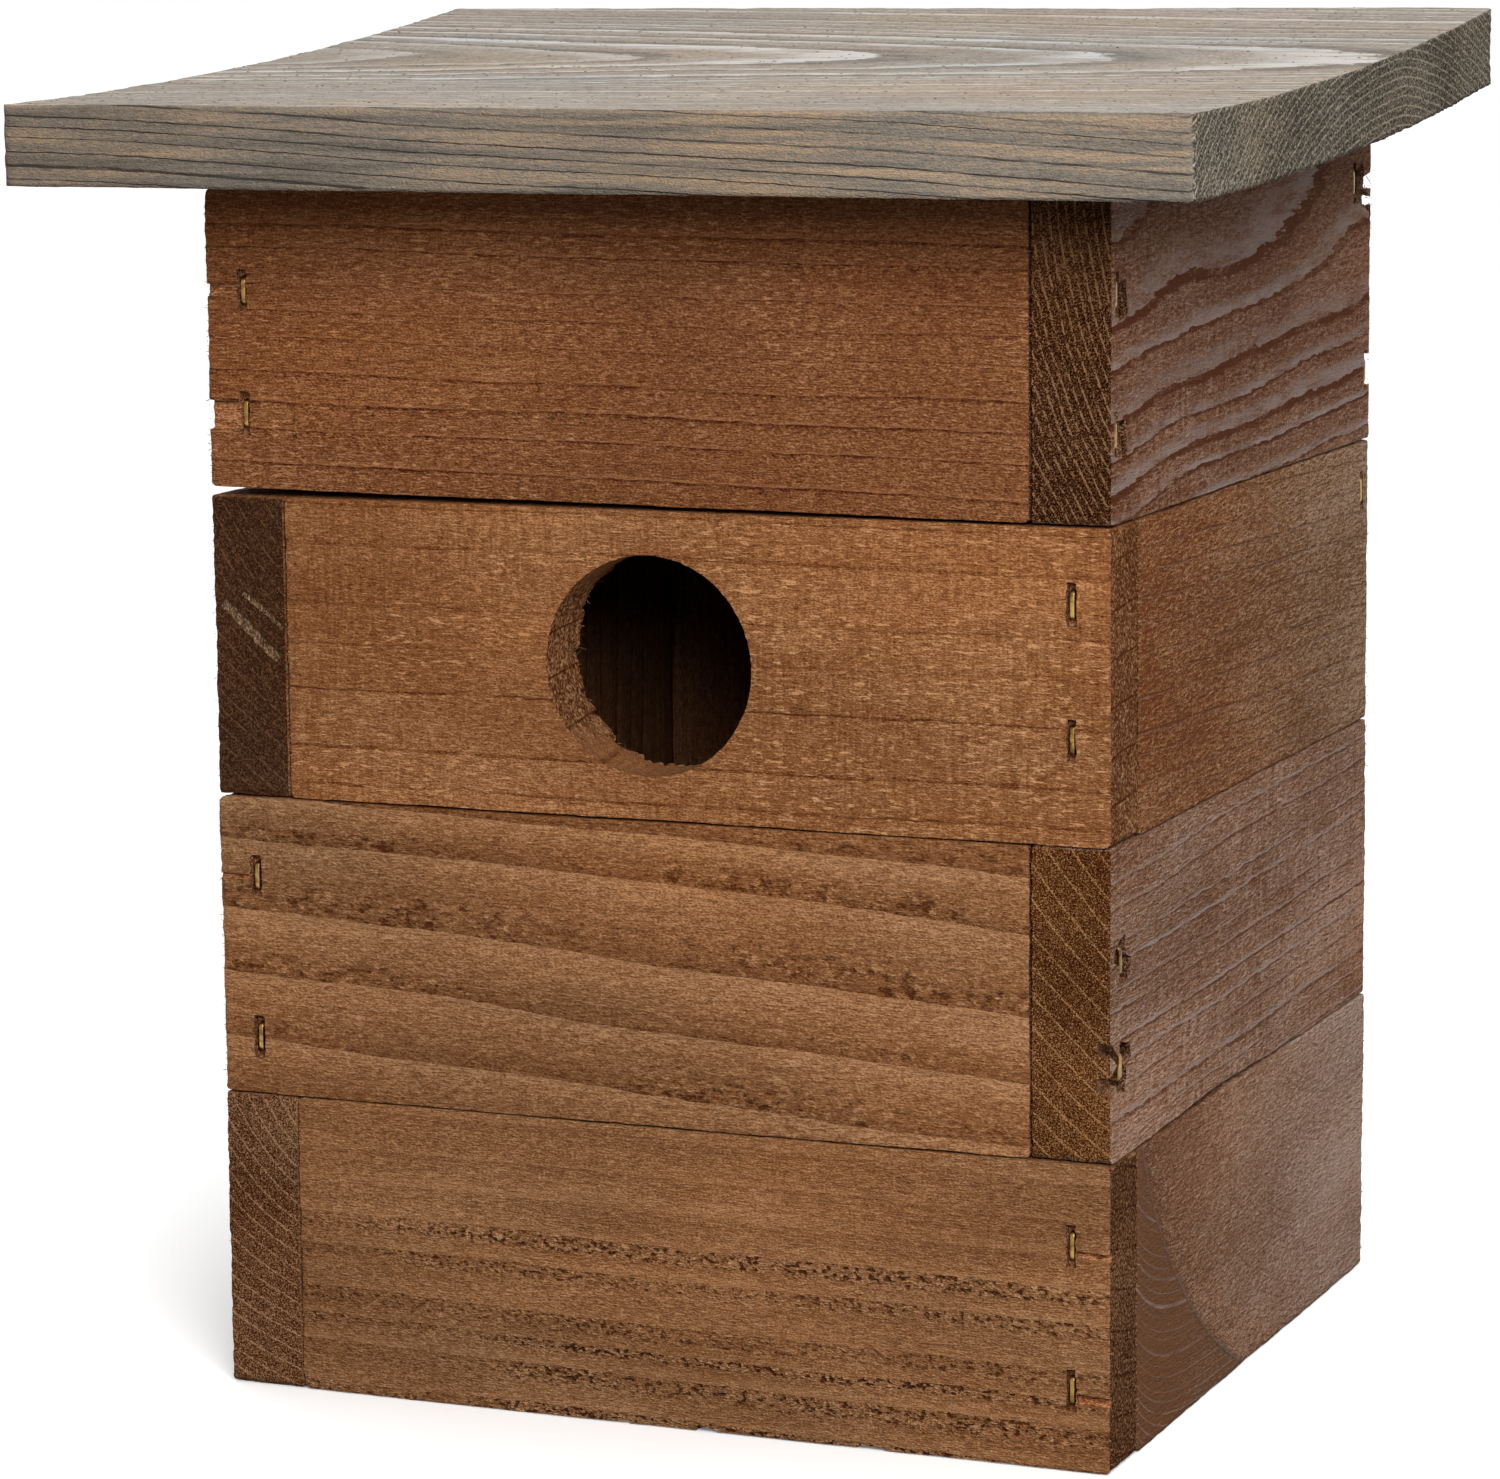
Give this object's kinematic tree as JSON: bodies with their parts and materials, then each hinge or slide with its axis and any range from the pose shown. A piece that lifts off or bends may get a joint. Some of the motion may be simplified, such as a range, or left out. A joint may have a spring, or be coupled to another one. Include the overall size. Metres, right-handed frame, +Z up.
{
  "type": "bird nest box",
  "caption": "Square timber nest box of stacked boards lapped at the corners, with a round entrance hole and an overhanging cupped roof that hinges open at the rear.",
  "frame": {"origin": "centre of the base, on the floor board's underside", "axes": "+Z up, -Y out of the entrance hole, +X to the right of someone facing the entrance"},
  "size_m": [0.179, 0.1563, 0.2031],
  "materials": {
    "brown_stained_wood": "matt brown stain on sawn softwood",
    "inner_wood": "brown stain on rough sawn softwood",
    "grey_stained_wood": "matt grey stain on sawn softwood",
    "staple_wire": "brassy coated wire, slightly dulled",
    "zinc_plated_steel": "zinc plated, satin"
  },
  "bodies": {
    "box": {"back_board": "inner_wood", "course_1_front_board": "brown_stained_wood", "course_1_left_board": "brown_stained_wood", "course_1_right_board": "brown_stained_wood", "course_1_staples": "staple_wire", "course_2_front_board": "brown_stained_wood", "course_2_left_board": "brown_stained_wood", "course_2_right_board": "brown_stained_wood", "course_2_staples": "staple_wire", "course_3_front_board": "brown_stained_wood", "course_3_left_board": "brown_stained_wood", "course_3_right_board": "brown_stained_wood", "course_3_staples": "staple_wire", "course_4_front_board": "brown_stained_wood", "course_4_left_board": "brown_stained_wood", "course_4_right_board": "brown_stained_wood", "course_4_staples": "staple_wire", "floor_board": "inner_wood", "floor_screws": "zinc_plated_steel", "floor_staples": "staple_wire", "hanger_plate": "zinc_plated_steel", "hanger_screws": "zinc_plated_steel", "hinge_box_screws": "zinc_plated_steel", "left_batten": "inner_wood", "left_batten_staples": "staple_wire", "left_hinge_box_leaf": "zinc_plated_steel", "left_hinge_pin": "zinc_plated_steel", "right_batten": "inner_wood", "right_batten_staples": "staple_wire", "right_hinge_box_leaf": "zinc_plated_steel", "right_hinge_pin": "zinc_plated_steel"},
    "roof": {"roof_board": "grey_stained_wood", "left_hinge_roof_leaf": "zinc_plated_steel", "right_hinge_roof_leaf": "zinc_plated_steel", "hinge_roof_screws": "zinc_plated_steel"}
  },
  "joints": [
    {"name": "roof_lift", "type": "hinge", "parent": "box", "child": "roof", "pos_m": [0, 0.0663, 0.19085], "axis": [-1, 0, 0], "range_deg": [0, 170]}
  ]
}
